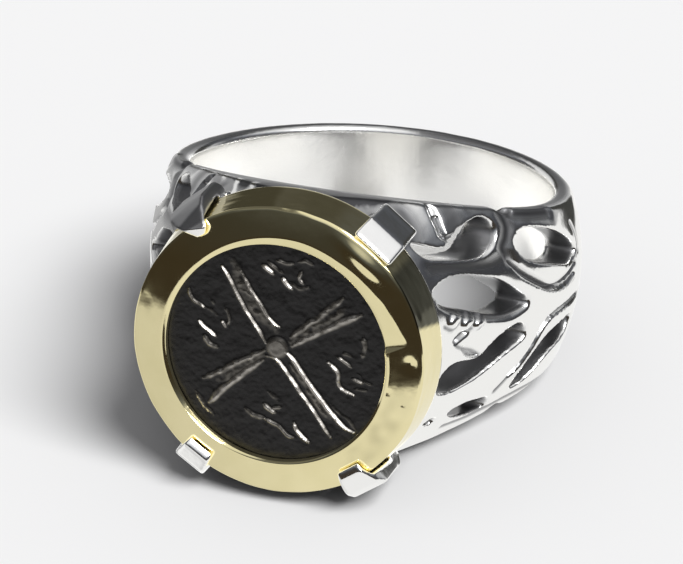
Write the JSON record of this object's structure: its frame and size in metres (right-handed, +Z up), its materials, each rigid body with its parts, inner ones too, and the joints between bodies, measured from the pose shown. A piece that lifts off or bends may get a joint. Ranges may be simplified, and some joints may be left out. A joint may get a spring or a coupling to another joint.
{
  "type": "coin ring",
  "caption": "Man's ring: a wide pierced silver hoop whose widened head holds a dark coin in a gold frame under four folded prongs, lying on its side.",
  "frame": {"origin": "on the table, under the middle of the box of the ring as it lies on its side", "axes": "+Z up from the table, -Y towards the coin, +X to the right seen from the coin's side; the finger hole's axis leans from +Z towards +Y by 9.38 degrees"},
  "size_m": [0.0234, 0.0288, 0.0156],
  "materials": {
    "silver": "polished cast silver, darkened in the cuts",
    "gold": "polished pale gold with small scratches and pits",
    "dark_coin": "blackened old silver, worn bright on its ridges"
  },
  "bodies": {
    "root": {"ring_shank": "silver", "bezel_frame": "gold", "coin": "dark_coin"}
  },
  "joints": []
}
